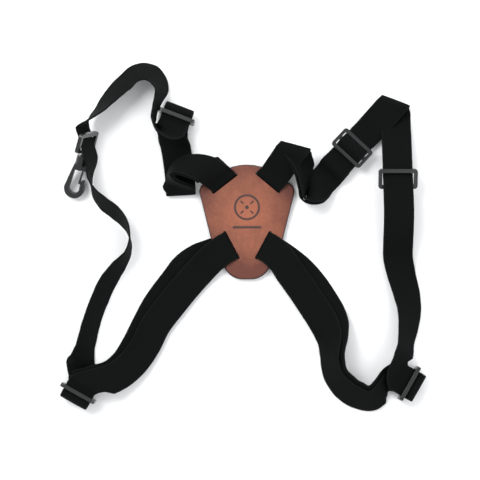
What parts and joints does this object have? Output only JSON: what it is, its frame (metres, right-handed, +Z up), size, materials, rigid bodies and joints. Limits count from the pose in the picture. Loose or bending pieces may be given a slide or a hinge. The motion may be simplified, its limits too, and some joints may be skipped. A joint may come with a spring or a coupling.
{
  "type": "binocular harness",
  "caption": "Black elastic webbing harness with a brown leather back patch, plastic tri-glides and swivelling snap hooks.",
  "frame": {"origin": "on the ground, under the middle of the laid-out harness", "axes": "+X to the viewer's right across the shoulders, +Y towards the top of the back patch, +Z up out of the patch's leather face"},
  "size_m": [0.3086, 0.298, 0.0357],
  "materials": {
    "leather": "satin",
    "backing": "matte",
    "print": "satin",
    "webbing": "matte",
    "thread": "matte",
    "plastic": "satin"
  },
  "bodies": {
    "harness": {"patch_leather": "leather", "patch_backing": "backing", "patch_mark": "print", "left_upper_loop": "webbing", "left_front_strap": "webbing", "left_lower_loop": "webbing", "right_upper_loop": "webbing", "right_front_strap": "webbing", "right_lower_loop": "webbing"},
    "glide_upper_left": {"tri_glide_upper_left": "plastic", "bight_upper_left": "webbing", "sewn_end_upper_left": "webbing", "bar_tack_upper_left": "thread"},
    "glide_lower_left": {"tri_glide_lower_left": "plastic", "bight_lower_left": "webbing", "sewn_end_lower_left": "webbing", "bar_tack_lower_left": "thread"},
    "glide_upper_right": {"tri_glide_upper_right": "plastic", "bight_upper_right": "webbing", "sewn_end_upper_right": "webbing", "bar_tack_upper_right": "thread"},
    "glide_lower_right": {"tri_glide_lower_right": "plastic", "bight_lower_right": "webbing", "sewn_end_lower_right": "webbing", "bar_tack_lower_right": "thread"},
    "loop_left": {"hook_loop_left": "plastic"},
    "hook_left": {"snap_hook_left": "plastic"},
    "gate_left": {"hook_gate_left": "plastic"},
    "loop_right": {"hook_loop_right": "plastic"},
    "hook_right": {"snap_hook_right": "plastic"},
    "gate_right": {"hook_gate_right": "plastic"}
  },
  "joints": [
    {"name": "glide_upper_left_slide", "type": "slide", "parent": "harness", "child": "glide_upper_left", "axis": [0.3584, 0.9336, 0], "range_m": [-0.001, 0.004]},
    {"name": "glide_lower_left_slide", "type": "slide", "parent": "harness", "child": "glide_lower_left", "axis": [-0.4848, -0.8746, 0], "range_m": [-0.001, 0.004]},
    {"name": "glide_upper_right_slide", "type": "slide", "parent": "harness", "child": "glide_upper_right", "axis": [0.682, 0.7314, 0], "range_m": [-0.001, 0.004]},
    {"name": "glide_lower_right_slide", "type": "slide", "parent": "harness", "child": "glide_lower_right", "axis": [0.866, -0.5, 0], "range_m": [-0.001, 0.004]},
    {"name": "loop_left_slide", "type": "slide", "parent": "harness", "child": "loop_left", "axis": [0.2572, -0.9582, -0.1251], "range_m": [-0.005, 0.005]},
    {"name": "hook_left_swivel", "type": "hinge", "parent": "loop_left", "child": "hook_left", "pos_m": [-0.132, 0.078, 0.01829], "axis": [-0.2781, -0.9095, -0.309], "continuous": true},
    {"name": "gate_left_hinge", "type": "hinge", "parent": "hook_left", "child": "gate_left", "pos_m": [-0.13529, 0.05593, 0.01112], "axis": [0.0903, 0.2955, -0.9511], "range_deg": [0, 15], "stiffness_Nm_per_rad": 0.05},
    {"name": "loop_right_slide", "type": "slide", "parent": "harness", "child": "loop_right", "axis": [0, -0.9613, 0.2756], "range_m": [-0.02, 0.01]},
    {"name": "hook_right_swivel", "type": "hinge", "parent": "loop_right", "child": "hook_right", "pos_m": [0.1305, 0.047, 0.01829], "axis": [0, -0.9563, -0.2924], "continuous": true},
    {"name": "gate_right_hinge", "type": "hinge", "parent": "hook_right", "child": "gate_right", "pos_m": [0.1338, 0.02481, 0.01151], "axis": [0, 0.2924, -0.9563], "range_deg": [0, 15], "stiffness_Nm_per_rad": 0.05}
  ]
}
